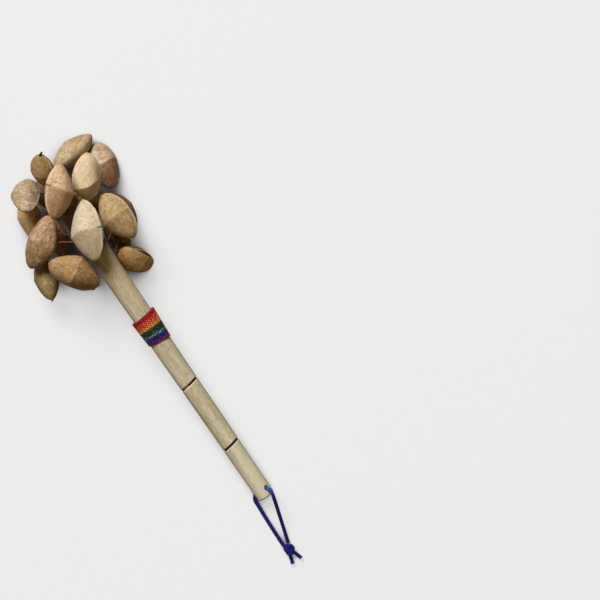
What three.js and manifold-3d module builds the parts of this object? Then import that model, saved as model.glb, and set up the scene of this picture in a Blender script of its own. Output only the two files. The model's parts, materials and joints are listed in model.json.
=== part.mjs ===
import * as THREE from 'three';
import { mergeVertices } from 'three/addons/utils/BufferGeometryUtils.js';
import Module from 'manifold-3d';

// A shaker of dried seed pods tied to a wooden stick, lying on a table.
// X runs across the stick, Y along it to the head, Z up from the table.
// Lengths are in millimetres and angles in degrees.

// Stick
const stickLength = 241.7;
const buttDiameter = 12;
const headDiameter = 16;
const endChamfer = 0.7;
const headRise = 6;
const grooveMiddles = [42.2, 91.2];
const grooveWidth = 1.8;
const grooveDepth = 0.6;

// Textile band
const bandMiddle = 135.7;
const bandLength = 20;
const bandThickness = 1.3;
const bandClearance = 0.3;

// Cross holes for the pod strings: the place along the stick and the turn round it
const stringHoles = [
  { fromHead: 50, turn: -10 },
  { fromHead: 41, turn: 40 },
  { fromHead: 32, turn: -60 },
  { fromHead: 23, turn: 165 },
  { fromHead: 15, turn: 60 },
  { fromHead: 10.5, turn: 110 },
  { fromHead: 6, turn: 170 },
];
const stringHoleDiameter = 3.4;

// Pod strings: each leads straight out of its hole, then bends to its pod and ends in a knot
const stringDiameter = 1;
const stringClearance = 0.3;
const stringLead = 3;
const knotDiameter = 2.8;
const knotSetback = 1.2;

// Pods: the sizes of a middling one, its wall, its sprung seam and the room round it
const podLength = 37;
const podWidth = 23.5;
const podThickness = 19.5;
const podWall = 1.7;
const podSeamShare = 0.44;
const podBackPower = 1.7;
const podBackRound = 0.65;
const podRidge = 0.35;
const seamShare = 0.72;
const seamGape = 1.6;
const knockGap = 0.9;
const stickGap = 0.8;
const threadGap = 0.2;
const heapPodLength = 37;
const heapScale = podLength / heapPodLength;

// Hanging cord: its hole, the bend over the hole, how it leans and falls, where it first lies
// beside the stick, how far it bows out there, and its knot
const cordDiameter = 2.6;
const cordClearance = 0.6;
const cordLift = 0.2;
const cordHoleAlong = 5.5;
const cordHoleTurn = 55;
const cordBend = 5.6;
const cordBendInset = 1.5;
const cordBendSteps = [0, 25, 50, 75, 100];
const cordLean = [-0.4, -0.9, -0.2];
const cordFallSteps = [0.2, 0.4, 0.62, 0.82];
const cordFallPower = 1.6;
const cordBesideGap = 0.45;
const cordBesideAlong = 3.5;
const cordBowSteps = [0.15, 0.35, 0.6, 0.85];
const cordBow = 1.2;
const cordKnotDiameter = 7;
const cordKnotPlace = [-7.4, -37, 3.7];

// Facets
const stickSides = 24;
const holeSides = 12;
const coreSides = 8;
const stringSides = 6;
const shellFacets = { rings: 9, sides: 12 };
const hollowFacets = { rings: 5, sides: 8 };
const bendFacets = { around: 6, upright: 4 };
const knotFacets = { around: 8, upright: 6 };
const cordKnotFacets = { around: 10, upright: 8 };
const cordQuarterSides = 2;
const cordSteps = 34;

// How closely crowded pods are eased apart
const easeTolerance = 0.02;
const easeRounds = 200;
const coarseStep = 0.4;
const fineStep = 0.0003;

// Colours
const woodColour = 0xc4b899;
const bandColour = 0x8a3a4a;
const threadColour = 0x8a5a3c;
const cordColour = 0x24249a;
const shellColours = {
  tan: 0xc09a66,
  pink: 0xc49a78,
  olive: 0x9a8050,
  orange: 0xba8650,
  cream: 0xd6c49a,
  grey: 0x86725a,
  brown: 0x8e6840,
};

// Where each pod lies: its middle across the stick, past the stick's head and above the table,
// the bearing and slope of its long axis, the turn of its seam about that axis (0 left, 90 up),
// its size against a middling pod, and the hole and side of the stick that its string comes out of.
const pods = [
  { at: [23, 19, 9], bearing: 8, slope: -8, seam: -75, size: 0.93, hole: 6, side: -1, shell: 'tan' },
  { at: [34, 3, 9], bearing: 76, slope: -6, seam: 200, size: 0.88, hole: 6, side: -1, shell: 'pink' },
  {
    at: [1, 19, 36], bearing: 70, slope: 45, seam: 150,
    size: 0.8, gape: 2.2, hole: 5, side: 1, shell: 'olive',
  },
  { at: [1, 2, 50], bearing: 50, slope: 0, seam: 30, size: 1, hole: 4, side: 1, shell: 'orange' },
  { at: [21, -1, 33.5], bearing: 58, slope: 15, seam: 190, size: 0.9, hole: 3, side: -1, shell: 'cream' },
  { at: [-18, 12.5, 33], bearing: 55, slope: -45, seam: 180, size: 0.85, hole: 6, side: 1, shell: 'grey' },
  { at: [-25, 2, 9], bearing: 70, slope: 0, seam: -60, size: 0.84, hole: 3, side: 1, shell: 'tan' },
  { at: [-26, -17, 30], bearing: 34, slope: 10, seam: -40, size: 1.03, hole: 2, side: -1, shell: 'brown' },
  { at: [3, -30, 47], bearing: 67, slope: 0, seam: 160, size: 1.08, hole: 1, side: 1, shell: 'cream' },
  {
    at: [23, -31, 32], bearing: 94, slope: -8, seam: 165,
    size: 0.98, gape: 1.8, hole: 1, side: 1, shell: 'tan',
  },
  {
    at: [17, -59, 13], bearing: 113, slope: 50, seam: 130,
    size: 0.86, gape: 3, hole: 0, side: 1, shell: 'brown',
  },
  { at: [-17.5, -47, 31], bearing: 122, slope: 5, seam: -20, size: 1, hole: 0, side: -1, shell: 'orange' },
  { at: [-39, -39, 12], bearing: 73, slope: -30, seam: -85, size: 0.92, hole: 0, side: -1, shell: 'olive' },
  { at: [-14, -21, 9], bearing: 80, slope: 0, seam: -90, size: 0.85, hole: 4, side: -1, shell: 'brown' },
  { at: [27, -30, 9], bearing: 94, slope: 0, seam: -95, size: 0.8, hole: 3, side: -1, shell: 'brown' },
  { at: [0, -32, 8], bearing: 85, slope: 0, seam: 20, size: 0.82, hole: 2, side: 1, shell: 'tan' },
  { at: [16, -6, 8], bearing: 100, slope: 0, seam: 200, size: 0.8, hole: 3, side: -1, shell: 'olive' },
  { at: [-6, 6, 8], bearing: 60, slope: 0, seam: 180, size: 0.82, hole: 4, side: -1, shell: 'brown' },
  { at: [-18, -44, 9], bearing: 80, slope: 0, seam: -70, size: 0.9, hole: 1, side: -1, shell: 'brown' },
  { at: [12.5, -41, 8], bearing: 100, slope: 0, seam: -95, size: 0.76, hole: 0, side: 1, shell: 'brown' },
];

const wasm = await Module();
wasm.setup();

const radians = THREE.MathUtils.degToRad;
const vector = (x, y, z) => new THREE.Vector3(x, y, z);
const down = vector(0, 0, -1);
const sixSides = [1, -1].flatMap((way) => [vector(way, 0, 0), vector(0, way, 0), vector(0, 0, way)]);

// Solids: joining and cutting

function solidOf(geometry) {
  const bare = geometry.clone();
  bare.deleteAttribute('normal');
  bare.deleteAttribute('uv');
  const welded = mergeVertices(bare, 1e-4);
  const corners = [];
  for (let i = 0; i < welded.index.count; i += 3) {
    const [a, b, c] = welded.index.array.slice(i, i + 3);
    if (a !== b && b !== c && c !== a) corners.push(a, b, c);
  }
  return new wasm.Manifold(new wasm.Mesh({
    numProp: 3,
    vertProperties: welded.attributes.position.array,
    triVerts: Uint32Array.from(corners),
  }));
}

function geometryOf(solid) {
  const mesh = solid.getMesh();
  const geometry = new THREE.BufferGeometry();
  geometry.setAttribute('position', new THREE.BufferAttribute(new Float32Array(mesh.vertProperties), 3));
  geometry.setIndex(new THREE.BufferAttribute(new Uint32Array(mesh.triVerts), 1));
  geometry.computeVertexNormals();
  return geometry;
}

// A straight rod between two points
function rod(from, to, diameter, sides) {
  const line = to.clone().sub(from);
  const geometry = new THREE.CylinderGeometry(diameter / 2, diameter / 2, line.length(), sides);
  const turn = new THREE.Quaternion().setFromUnitVectors(vector(0, 1, 0), line.clone().normalize());
  geometry.applyQuaternion(turn);
  const middle = from.clone().lerp(to, 0.5);
  return geometry.translate(middle.x, middle.y, middle.z);
}

function ball(middle, diameter, { around, upright }) {
  const geometry = new THREE.SphereGeometry(diameter / 2, around, upright);
  return geometry.translate(middle.x, middle.y, middle.z);
}

// The stick's own frame, laid down with its butt on the table

const rise = radians(headRise);
const layDown = new THREE.Matrix4()
  .makeTranslation(0, buttDiameter / 2 * Math.sin(rise), buttDiameter / 2 * Math.cos(rise))
  .multiply(new THREE.Matrix4().makeRotationX(rise));

function onTable(point) {
  return point.clone().applyMatrix4(layDown);
}

const buttMiddle = onTable(vector(0, 0, 0));
const headMiddle = onTable(vector(0, stickLength, 0));

function stickRadius(along) {
  return (buttDiameter + (headDiameter - buttDiameter) * along / stickLength) / 2;
}

// The direction out of the stick at a turn round it
function outward(turn) {
  return vector(Math.cos(radians(turn)), 0, Math.sin(radians(turn)));
}

// A rod across the stick that reaches equally far out on both sides
function crossRod(along, turn, reach, diameter, sides) {
  const out = outward(turn).multiplyScalar(reach);
  const middle = vector(0, along, 0);
  return rod(middle.clone().sub(out), middle.clone().add(out), diameter, sides);
}

function crossHole(along, turn, diameter) {
  return solidOf(crossRod(along, turn, headDiameter, diameter, holeSides));
}

function grooveProfile(middle) {
  const half = grooveWidth / 2;
  const floor = stickRadius(middle) - grooveDepth;
  return [
    new THREE.Vector2(stickRadius(middle - half), middle - half),
    new THREE.Vector2(floor, middle - half / 2),
    new THREE.Vector2(floor, middle + half / 2),
    new THREE.Vector2(stickRadius(middle + half), middle + half),
  ];
}

function stickGeometry() {
  const butt = stickRadius(0);
  const head = stickRadius(stickLength);
  const profile = [
    new THREE.Vector2(0, 0),
    new THREE.Vector2(butt - endChamfer, 0),
    new THREE.Vector2(butt, endChamfer),
    ...grooveMiddles.flatMap(grooveProfile),
    new THREE.Vector2(head, stickLength - endChamfer),
    new THREE.Vector2(head - endChamfer, stickLength),
    new THREE.Vector2(0, stickLength),
  ];
  let solid = solidOf(new THREE.LatheGeometry(profile, stickSides));
  for (const { fromHead, turn } of stringHoles) {
    solid = solid.subtract(crossHole(stickLength - fromHead, turn, stringHoleDiameter));
  }
  solid = solid.subtract(crossHole(cordHoleAlong, cordHoleTurn, cordDiameter + 2 * cordClearance));
  return geometryOf(solid).applyMatrix4(layDown);
}

function bandGeometry() {
  const low = bandMiddle - bandLength / 2;
  const high = bandMiddle + bandLength / 2;
  const inside = (along) => stickRadius(along) + bandClearance;
  const profile = [
    new THREE.Vector2(inside(low), low),
    new THREE.Vector2(inside(low) + bandThickness, low),
    new THREE.Vector2(inside(high) + bandThickness, high),
    new THREE.Vector2(inside(high), high),
    new THREE.Vector2(inside(low), low),
  ];
  return new THREE.LatheGeometry(profile, stickSides).applyMatrix4(layDown);
}

// The thread that fills a cross hole from mouth to mouth
function coreGeometry({ fromHead, turn }) {
  const along = stickLength - fromHead;
  const diameter = stringHoleDiameter - 2 * stringClearance;
  return crossRod(along, turn, stickRadius(along), diameter, coreSides).applyMatrix4(layDown);
}

// Pod shape

function podSize(scale, wall) {
  return {
    length: podLength * scale - 2 * wall,
    width: podWidth * scale - 2 * wall,
    thickness: podThickness * scale - 2 * wall,
  };
}

// How far a pod's section reaches to the seam, to the back and to each face, at a share of its
// half length from the middle. The seam's edge is round, the back is more pointed at the ends,
// and the faces meet in a ridge across the middle.
function sectionReach({ width, thickness }, share) {
  const along = Math.min(Math.abs(share), 1);
  const round = Math.sqrt(1 - along ** 2);
  const pointed = (1 - along ** podBackPower) ** podBackRound;
  return {
    seam: width * podSeamShare * round,
    back: width * (1 - podSeamShare) * pointed,
    face: thickness / 2 * (podRidge * (1 - along) + (1 - podRidge) * round),
  };
}

function shellGeometry(size, { rings, sides }) {
  const points = [-size.length / 2, 0, 0];
  for (let ring = 1; ring <= rings; ring += 1) {
    const share = -Math.cos(Math.PI * ring / (rings + 1));
    const reach = sectionReach(size, share);
    for (let side = 0; side < sides; side += 1) {
      const angle = 2 * Math.PI * side / sides;
      const across = Math.cos(angle);
      points.push(share * size.length / 2);
      points.push(across * (across > 0 ? reach.seam : reach.back), Math.sin(angle) * reach.face);
    }
  }
  points.push(size.length / 2, 0, 0);
  const last = rings * sides + 1;
  const corner = (ring, side) => 1 + ring * sides + side % sides;
  const index = [];
  for (let side = 0; side < sides; side += 1) {
    index.push(0, corner(0, side + 1), corner(0, side));
    index.push(last, corner(rings - 1, side), corner(rings - 1, side + 1));
    for (let ring = 0; ring < rings - 1; ring += 1) {
      const [a, b] = [corner(ring, side), corner(ring, side + 1)];
      const [c, d] = [corner(ring + 1, side), corner(ring + 1, side + 1)];
      index.push(a, b, d, a, d, c);
    }
  }
  const geometry = new THREE.BufferGeometry();
  geometry.setAttribute('position', new THREE.Float32BufferAttribute(points, 3));
  geometry.setIndex(index);
  return geometry;
}

// The sprung seam, a lens-shaped slot along the pod's edge
function seamSlot(size, gape) {
  const half = size.length / 2 * seamShare;
  const edge = (share, side) => new THREE.Vector2(half * share, side * gape / 2 * (1 - share ** 2));
  const there = [-1, -0.5, 0, 0.5].map((share) => edge(share, -1));
  const back = [1, 0.5, 0, -0.5].map((share) => edge(share, 1));
  const lens = new THREE.Shape([...there, ...back]);
  const slot = new THREE.ExtrudeGeometry(lens, { depth: size.width, bevelEnabled: false });
  return slot.rotateX(-Math.PI / 2);
}

// How far a shell reaches from its middle in a direction of its own frame
function shellReach(size, direction) {
  let inside = 0;
  let outside = size.length;
  while (outside - inside > easeTolerance) {
    const middle = (inside + outside) / 2;
    const point = direction.clone().multiplyScalar(middle);
    const share = point.x / (size.length / 2);
    const reach = sectionReach(size, share);
    const across = point.y / (point.y > 0 ? reach.seam : reach.back);
    const within = Math.abs(share) < 1 && across ** 2 + (point.z / reach.face) ** 2 < 1;
    if (within) inside = middle;
    else outside = middle;
  }
  return inside;
}

// Pod places: each pod starts where it lies in the heap and is eased away from what crowds it

function placePod(pod, number) {
  const name = `pod_${String(number + 1).padStart(2, '0')}`;
  const turn = new THREE.Euler(radians(pod.seam), -radians(pod.slope), radians(pod.bearing), 'ZYX');
  const rotation = new THREE.Quaternion().setFromEuler(turn);
  const outer = shellGeometry(podSize(pod.size, 0), shellFacets).applyQuaternion(rotation);
  const points = outer.attributes.position.array;
  const [across, past, height] = pod.at.map((place) => place * heapScale);
  const middle = vector(across, headMiddle.y + past, height);
  const reach = ({ x, y, z }) => {
    let far = 0;
    for (let i = 0; i < points.length; i += 3) {
      far = Math.max(far, x * points[i] + y * points[i + 1] + z * points[i + 2]);
    }
    return far + x * middle.x + y * middle.y + z * middle.z;
  };
  const nearest = () => middle.clone();
  return { gape: seamGape, ...pod, name, rotation, middle, reach, nearest };
}

function stickBody() {
  const axis = new THREE.Line3(buttMiddle, headMiddle);
  const along = headMiddle.clone().sub(buttMiddle).normalize();
  const reach = (direction) => {
    const across = Math.sqrt(1 - direction.dot(along) ** 2);
    const butt = buttMiddle.dot(direction) + across * stickRadius(0);
    const head = headMiddle.dot(direction) + across * stickRadius(stickLength);
    return Math.max(butt, head);
  };
  const nearest = (point) => axis.closestPointToPoint(point, true, vector(0, 0, 0));
  return { reach, nearest };
}

// A straight stretch of string
function stretchBody(from, to) {
  const line = new THREE.Line3(from, to);
  const reach = (direction) => Math.max(from.dot(direction), to.dot(direction)) + stringDiameter / 2;
  const nearest = (point) => line.closestPointToPoint(point, true, vector(0, 0, 0));
  return { middle: from, reach, nearest };
}

// The strings that share a mouth stand side by side along the stick, in the order of their pods
function tieString(pod, placed) {
  const { fromHead, turn } = stringHoles[pod.hole];
  const along = stickLength - fromHead;
  const shared = placed.filter((other) => other.hole === pod.hole && other.side === pod.side);
  shared.sort((a, b) => a.at[1] - b.at[1]);
  const rank = shared.indexOf(pod) - (shared.length - 1) / 2;
  const mouth = vector(0, along + rank * (stringDiameter + 2 * threadGap), 0);
  const standoff = stickRadius(along) + stringClearance + stringDiameter / 2;
  const out = (reach) => outward(turn).multiplyScalar(pod.side * reach).add(mouth);
  pod.tie = onTable(out(standoff));
  pod.lead = onTable(out(standoff + stringLead));
  pod.stub = stretchBody(pod.tie, pod.lead);
  pod.run = stretchBody(pod.lead, pod.middle);
}

// The clear room between two bodies along a direction from the first to the second
function slotAlong(first, second, direction) {
  return -first.reach(direction) - second.reach(direction.clone().negate());
}

// The direction in which two bodies are furthest apart, as far as their wanted room
function widestSlot(first, second, room) {
  const start = first.nearest(second.middle);
  let direction = second.nearest(start).sub(start).normalize();
  let gap = slotAlong(first, second, direction);
  let step = coarseStep;
  while (step > fineStep && gap < room) {
    const before = gap;
    for (const side of sixSides) {
      const turned = direction.clone().addScaledVector(side, step).normalize();
      const wider = slotAlong(first, second, turned);
      if (wider > gap) [gap, direction] = [wider, turned];
    }
    if (gap === before) step /= 2;
  }
  return { gap, direction };
}

function easeApart(placed) {
  const stick = stickBody();
  let crowded = false;
  // Moves the listed pods along the widest slot until two bodies have their room
  const ease = (first, second, room, moves) => {
    const { gap, direction } = widestSlot(first, second, room);
    const short = room - gap;
    if (short < easeTolerance) return;
    crowded = true;
    for (const [pod, share] of moves) pod.middle.addScaledVector(direction, short * share);
  };
  const easePod = (pod, i) => {
    pod.middle.z += Math.max(0, pod.reach(down));
    ease(stick, pod, stickGap, [[pod, 1]]);
    ease(stick, pod.run, threadGap, [[pod, 2]]);
    for (const other of placed.slice(i + 1)) {
      ease(pod, other, knockGap, [[pod, -0.5], [other, 0.5]]);
      ease(pod.run, other.run, threadGap, [[pod, -1], [other, 1]]);
    }
    for (const other of placed) {
      if (other === pod) continue;
      ease(pod.stub, other, threadGap, [[other, 1]]);
      ease(pod.stub, other.run, threadGap, [[other, 2]]);
      ease(pod.run, other, threadGap, [[other, 1]]);
    }
  };
  for (let round = 0; round < easeRounds; round += 1) {
    crowded = false;
    placed.forEach(easePod);
    if (!crowded) return;
  }
}

const placed = pods.map(placePod);
placed.forEach((pod) => tieString(pod, placed));
easeApart(placed);

// A string from its hole round its bend to an end in the pod
function stringRun(pod, end, diameter) {
  const out = solidOf(rod(pod.tie, pod.lead, diameter, stringSides));
  const on = solidOf(rod(pod.lead, end, diameter, stringSides));
  const [start, bend] = [pod.tie, pod.lead].map((place) => solidOf(ball(place, diameter, bendFacets)));
  return out.add(on).add(start).add(bend);
}

function podGeometry(pod) {
  const outer = podSize(pod.size, 0);
  const inner = podSize(pod.size, podWall);
  const { x, y, z } = pod.middle;
  const inPlace = (geometry) => solidOf(geometry.applyQuaternion(pod.rotation).translate(x, y, z));
  const solid = inPlace(shellGeometry(outer, shellFacets))
    .subtract(inPlace(shellGeometry(inner, hollowFacets)))
    .subtract(inPlace(seamSlot(outer, pod.gape)))
    .subtract(stringRun(pod, pod.middle, stringDiameter + 2 * stringClearance));
  return geometryOf(solid);
}

// A pod's string, with a knot behind the shell's wall
function stringGeometry(pod) {
  const out = pod.lead.clone().sub(pod.middle).normalize();
  const outInPod = out.clone().applyQuaternion(pod.rotation.clone().invert());
  const wall = shellReach(podSize(pod.size, podWall), outInPod);
  const knot = pod.middle.clone().addScaledVector(out, wall - knotSetback - knotDiameter / 2);
  return geometryOf(stringRun(pod, knot, stringDiameter).add(solidOf(ball(knot, knotDiameter, knotFacets))));
}

// Hanging cord: from its knot up one strand, through the hole above the butt and back

const cordRadius = stickRadius(cordHoleAlong);
const cordRest = cordDiameter / 2 + cordLift;

function cordMouth(side, reach) {
  const hole = vector(0, cordHoleAlong, 0);
  return onTable(outward(cordHoleTurn).multiplyScalar(side * reach).add(hole));
}

function atKnot(side) {
  return vector(side, 2, -1).multiplyScalar(cordKnotDiameter / 4).add(vector(...cordKnotPlace));
}

// Up out of the hole, over in an arc, and down to the table and the knot
function rightStrand() {
  const out = cordMouth(1, 1).sub(cordMouth(1, 0));
  const lean = vector(...cordLean);
  const over = lean.addScaledVector(out, -out.dot(lean)).normalize();
  const start = cordMouth(1, cordRadius - cordBendInset);
  const arc = cordBendSteps.map((degrees) => start.clone()
    .addScaledVector(out, cordBend * Math.sin(radians(degrees)))
    .addScaledVector(over, cordBend * (1 - Math.cos(radians(degrees)))));
  const top = arc[arc.length - 1];
  const fall = cordFallSteps.map((share) => {
    const point = top.clone().lerp(atKnot(1), share);
    return point.setZ(cordRest + (top.z - cordRest) * (1 - share) ** cordFallPower);
  });
  return [cordMouth(1, cordRadius / 2), ...arc, ...fall, atKnot(1)];
}

// Down out of the hole, and along the table beside the stick to the knot
function leftStrand() {
  const across = -cordRadius - cordDiameter / 2 - cordBesideGap;
  const beside = vector(across, cordBesideAlong, cordRest);
  const lie = cordBowSteps.map((share) => {
    const point = beside.clone().lerp(atKnot(-1), share);
    return point.setX(point.x - cordBow * share * (1 - share)).setZ(cordRest);
  });
  return [cordMouth(-1, cordRadius / 2), cordMouth(-1, cordRadius), beside, ...lie, atKnot(-1)];
}

function cordGeometry() {
  const section = new THREE.Shape();
  section.absarc(0, 0, cordDiameter / 2, 0, 2 * Math.PI);
  return new THREE.ExtrudeGeometry(section, {
    curveSegments: 2 * cordQuarterSides,
    steps: cordSteps,
    bevelEnabled: false,
    extrudePath: new THREE.CatmullRomCurve3([...rightStrand().reverse(), ...leftStrand()]),
  });
}

// The assembly

const group = new THREE.Group();
group.name = 'seed_pod_shaker';

function addPiece(name, geometry, colour, roughness) {
  const material = new THREE.MeshStandardMaterial({ color: colour, roughness, metalness: 0 });
  const mesh = new THREE.Mesh(geometry, material);
  mesh.name = name;
  group.add(mesh);
}

addPiece('stick', stickGeometry(), woodColour, 0.7);
addPiece('textile_band', bandGeometry(), bandColour, 0.95);
stringHoles.forEach((hole, i) => {
  addPiece(`string_core_${i + 1}`, coreGeometry(hole), threadColour, 0.95);
});
for (const pod of placed) {
  addPiece(pod.name, podGeometry(pod), shellColours[pod.shell], 0.65);
  addPiece(pod.name.replace('pod', 'pod_string'), stringGeometry(pod), threadColour, 0.95);
}

// The origin lies on the table under the middle of all but the limp cord
const box = new THREE.Box3().setFromObject(group);
group.position.set(-(box.min.x + box.max.x) / 2, -(box.min.y + box.max.y) / 2, -box.min.z);

addPiece('hanging_cord', cordGeometry(), cordColour, 0.95);
addPiece('cord_knot', ball(vector(...cordKnotPlace), cordKnotDiameter, cordKnotFacets), cordColour, 0.95);

export default group;
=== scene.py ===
import json
import random
from dataclasses import dataclass
from functools import cache
from math import asin, cos, degrees, exp, pi, radians, sin, sqrt, tan

import bpy
from mathutils import Matrix, Vector, noise


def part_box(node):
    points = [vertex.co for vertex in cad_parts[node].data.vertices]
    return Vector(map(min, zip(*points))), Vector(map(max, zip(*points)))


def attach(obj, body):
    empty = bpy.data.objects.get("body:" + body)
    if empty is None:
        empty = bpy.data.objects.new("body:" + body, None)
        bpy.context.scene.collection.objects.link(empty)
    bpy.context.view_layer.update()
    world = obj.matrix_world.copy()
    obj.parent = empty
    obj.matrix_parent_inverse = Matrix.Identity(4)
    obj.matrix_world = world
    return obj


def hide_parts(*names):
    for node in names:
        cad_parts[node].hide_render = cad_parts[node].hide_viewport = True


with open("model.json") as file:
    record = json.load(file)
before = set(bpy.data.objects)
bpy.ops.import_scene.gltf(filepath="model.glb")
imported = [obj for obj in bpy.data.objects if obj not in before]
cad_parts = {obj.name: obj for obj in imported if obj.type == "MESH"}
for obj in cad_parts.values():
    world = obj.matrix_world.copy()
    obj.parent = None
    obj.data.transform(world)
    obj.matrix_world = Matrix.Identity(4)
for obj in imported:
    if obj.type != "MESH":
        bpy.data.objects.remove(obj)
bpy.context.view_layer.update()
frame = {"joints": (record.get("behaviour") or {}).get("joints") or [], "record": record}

# A shaker of dried seed pods tied to a wooden stick, lying on a table.
# X runs across the stick, Y along it to the head, Z up from the table.
# Sizes are in millimetres until a mesh is made, which is in metres. Angles are in degrees.

scene = bpy.context.scene
mm = 0.001

# Camera: straight above the table, its middle measured from the table under the stick's butt.
# The view has its width at a plane above the table.
view_middle = (91.7, 95.9)
view_turn = -34.21
view_width = 396
view_height = 2500
view_plane = 20
sensor_width = 36

# Table and light; the painted shadow and the lamp are in metres
table_half = 2500
table_drop = 0.3
table_glow = 0.64
shadow_reach = 0.06
shadow_ends = (0.32, 0.62)
lamp_way = (-0.45, 0.8, 1)
lamp_reach = 6
lamp_size = 2.8
lamp_watts = 432
room_colour = (1, 0.8, 0.45, 1)
room_strength = 0.16

# Stick
stick_length = 241.7
butt_diameter = 12
head_diameter = 16
end_chamfer = 0.7
groove_middles = (42.2, 91.2)
groove_width = 1.5
groove_depth = 0.6
groove_slope = tan(radians(10))
groove_fade = (12, 6)
groove_step = 0.15
groove_steps = 18
string_holes = ((50, -10), (41, 40), (32, -60), (23, 165), (15, 60), (10.5, 110), (6, 170))
string_hole_diameter = 3.4
sharp_angle = 50

# How the whittled skin wavers: the noise's spread round the stick, its length along it, start and height
stick_waves = ((0.9, 45, 0, 0.16), (2.6, 30, 7, 0.07))

# Rings of colour at each groove: how far from its middle to the head, and half their width
# The pale ring on the butt side of each groove is a painted highlight on its edge
painted_highlight_ring = (-1.1, 0.3)
brown_ring = (0.7, 0.6)
burnt_ring = (0.04, 0.74)
ring_full = 0.75
ring_end = 1.2

# The second groove is browned, not burnt, between two places across the stick
browned_left = (-4.8, -4.2)
browned_right = (-0.4, -1.2)
browned_along = (60.0, 61.0)

# Along the stick: where its wood turns paler to the butt, yellower to the head, and where painted shade
# darkens it under the pods
butt_paling = (70.0, 10.0)
head_yellowing = (140.0, 195.0)
head_painted_shade = (stick_length - 48, stick_length - 38)

# Hanging cord, on the route of its solid
cord_diameter = 2.6
cord_hole_along = 5.5
cord_hole_turn = 55
cord_hole_diameter = 3.8
cord_knot_diameter = 7
cord_knot_place = (-7.4, -37, 3.7)
cord_table_gap = 0.2
cord_lift = cord_diameter / 2 + cord_table_gap
cord_bend = 5.6
cord_bend_inset = 1.5
cord_bend_steps = (0, 25, 50, 75, 100)
cord_lean = (-0.4, -0.9, -0.2)
cord_fall_steps = (0.2, 0.4, 0.62, 0.82)
cord_fall_power = 1.6
cord_beside_gap = 0.45
cord_beside_along = 3.5
cord_bow_steps = (0.15, 0.35, 0.6, 0.85)
cord_bow = 1.2
cord_step = 0.35
# Where the right strand's painted highlight fades out, in millimetres along it from the hole
cord_highlight_fade = (4, 13)

# The knot's wraps and its cut ends
knot_ring = 1.75
knot_swell = 0.95
knot_stretch = 1.15
knot_steps = 120
tail_diameter = cord_diameter * 0.95
tail_flare = 0.25
tail_fuzz = 0.12

# How each yarn is twisted: its plies, the length of one turn and the sides of its mesh
cord_twist = (3, 4.2, 18)
core_twist = (4, 6, 24)
string_twist = (2, 2.2, 10)
ply_hollow = 0.24
ply_round = 0.6
fuzz_along = 2.1
fuzz_round = 3
taper_share = 0.15

# Textile band
band_middle = 135.7
band_length = 20.4
band_thickness = 1.25
band_clearance = 0.45
band_flare = 0.4
band_pinch = 0.28
band_relief = 0.7
band_lean = 0.1
band_skew = 0.9
band_lap = 0.5
band_lap_at = 270
band_lap_turn = 50
band_yarns = 24
band_yarn_rows = 7
band_columns = 288
band_floats = 24
float_slant = 0.42
float_low = 0.35
float_round = 0.7
float_seed = 997

# Stripes from the butt side: first yarn, the yarn's colour, the painted shade between floats, and of stray
# flecks
band_stripes = (
    (0, "7c1054", "4a0634", "a83a78"),
    (1.9, "4c1c80", "2a0c4c", "6a2a9c"),
    (3.6, "1a2076", "0c0e3a", "30409c"),
    (6.0, "5c8690", "182c44", "a0bcc4"),
    (7.9, "3c4442", "161a1c", "8c8c9a"),
    (9.6, "2c3a28", "14180e", "2c6444"),
    (12.0, "5c4614", "2c220a", "7c6020"),
    (13.4, "eaa858", "8c5a18", "f6c886"),
    (15.4, "e67030", "a03010", "f49858"),
    (17.8, "e24c38", "a01818", "f48468"),
    (20.4, "bc142c", "7c0c1c", "d03040"),
)

# Thread that fills a cross hole, and strings from its mouth round a bend into the pods
core_diameter = 3.2
core_inset = 0.4
core_taper = 0.35
core_steps = 20
string_diameter = 0.8
string_root = 1.4
string_mouth = 0.8
string_lead = 3
string_bend = 0.4
string_after = 2
string_least = 8
string_step = 0.3

# Pods: a middling one, its wall, its form and its seam
pod_length = 37
pod_width = 23.2
pod_thickness = 19.2
pod_wall = 1.7
pod_seam_share = 0.44
pod_back_power = 1.7
pod_back_round = 0.65
pod_kite_power = 0.8
seam_corner = 0.35
back_corner = 0.1
seam_share = 0.72
seam_least = 0.05
seam_steepest = 0.9
gape_waves = 14
gape_seed = 3.1
gape_ragged = 0.8
gape_narrow = 1.2

# Rows and columns of a shell's mesh, for pods that show and for those below them
seen_pods = 13
seen_mesh = (72, 96)
hidden_mesh = (40, 56)
even_share = 0.45
box_steps = 20
box_turns = 48

# Relief of a shell's skin; the dents have a length and a height
skin_inset = 0.25
skin_lean = 0.25
skin_dents = ((10, 0.55), (2.2, 0.12))
skin_seed = 11.3
tone_seed = 3.7
fold_depth = 0.3
seam_ends = (0.8, 0.95)
lip_width = 1.0
lip_rise = 0.28
crest_width = 0.6
crest_rise = 0.15
crack_ends = (0.5, 4.2)
crack_full = 1.5
crack_width = 0.2
crack_spread = 0.35
crack_depth = 0.25
closed_width = 0.3
closed_depth = 0.3
closed_dark = 0.8

# A stub of the stem: how far each ring lies beyond the tip and its width
stalk_rings = ((-1.6, 1.0), (0.2, 1.05), (1.0, 0.8), (1.5, 0.75), (1.6, 0.1))
stalk_shift = 0.7
stalk_lean = (0.5, 0.4)


@dataclass
class Pod:
    """How a pod lies, its size, its shell's kind and colours, its seam, ridge, finish and painted shade on
    one half.
    """
    bearing: float
    slope: float
    seam: float
    size: float
    shell: str
    light: str
    dark: str
    blush: str
    gape: float = 1.4
    ridge: float = 0.35
    ridge_at: float = 0.0
    ridge_tilt: float = 0.0
    ridge_bend: float = 0.0
    kite: float = 0.0
    wrinkle: float = 0.15
    folds: tuple = (0.4, 0.75, 0.75)
    blotch: float = 0.5
    crack: float = 0.0
    stalk: float = 0.0
    shaded: float = 0.0


deep_brown = ("brown", "7c5a38", "4a331e", "6c4e30")

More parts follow.
